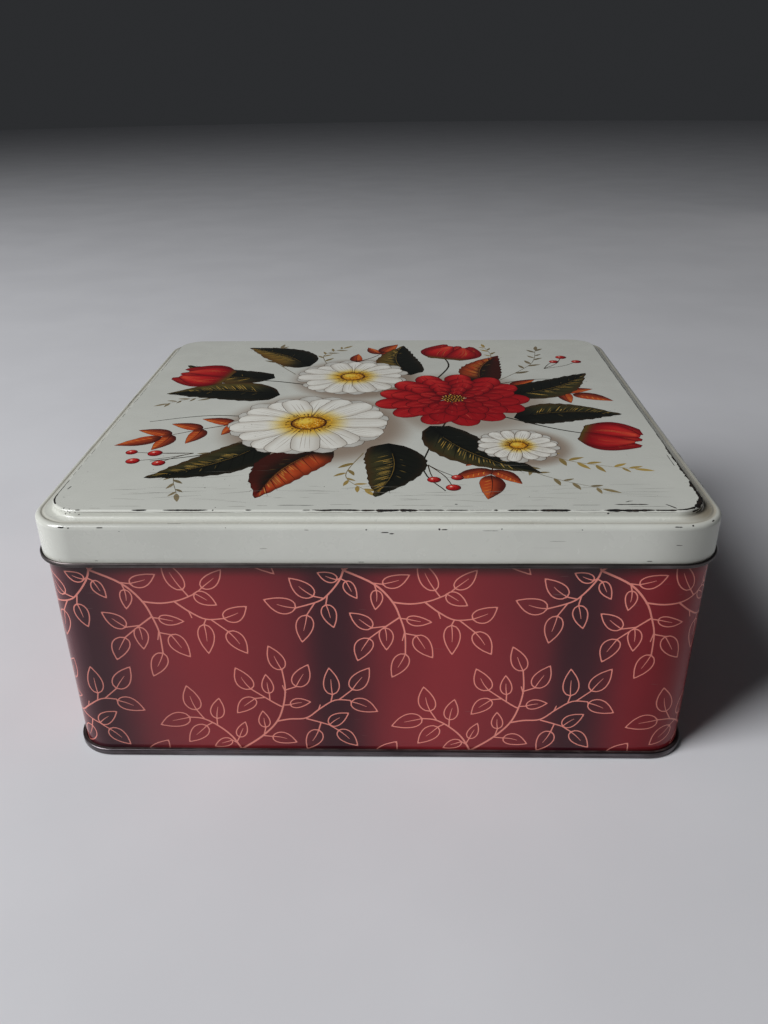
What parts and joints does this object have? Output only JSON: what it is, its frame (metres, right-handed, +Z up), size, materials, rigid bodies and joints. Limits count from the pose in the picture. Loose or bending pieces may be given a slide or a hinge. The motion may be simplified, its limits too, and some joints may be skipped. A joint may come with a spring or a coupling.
{
  "type": "slip-lid tin",
  "caption": "Rectangular tinplate storage tin with rounded corners, a printed wall and a lift-off lid with a raised panel and rolled hem.",
  "frame": {"origin": "centre of the footprint, on the surface the tin stands on", "axes": "+X along the long side, to the right seen from the front; +Y to the back; +Z up, the way the lid lifts"},
  "size_m": [0.2518, 0.2342, 0.1092],
  "materials": {
    "lid_enamel": "cream stoving enamel with a printed floral panel, worn at the edges",
    "wall_print": "dark red lacquer print with outlined leaf sprigs",
    "bare_tinplate": "bare dulled tinplate"
  },
  "bodies": {
    "tin": {"body_wall": "wall_print", "base_panel": "bare_tinplate"},
    "lid": {"lid": "lid_enamel"}
  },
  "joints": [
    {"name": "lid_lift", "type": "slide", "parent": "tin", "child": "lid", "axis": [0, 0, 1], "range_m": [0, 0.12]}
  ]
}
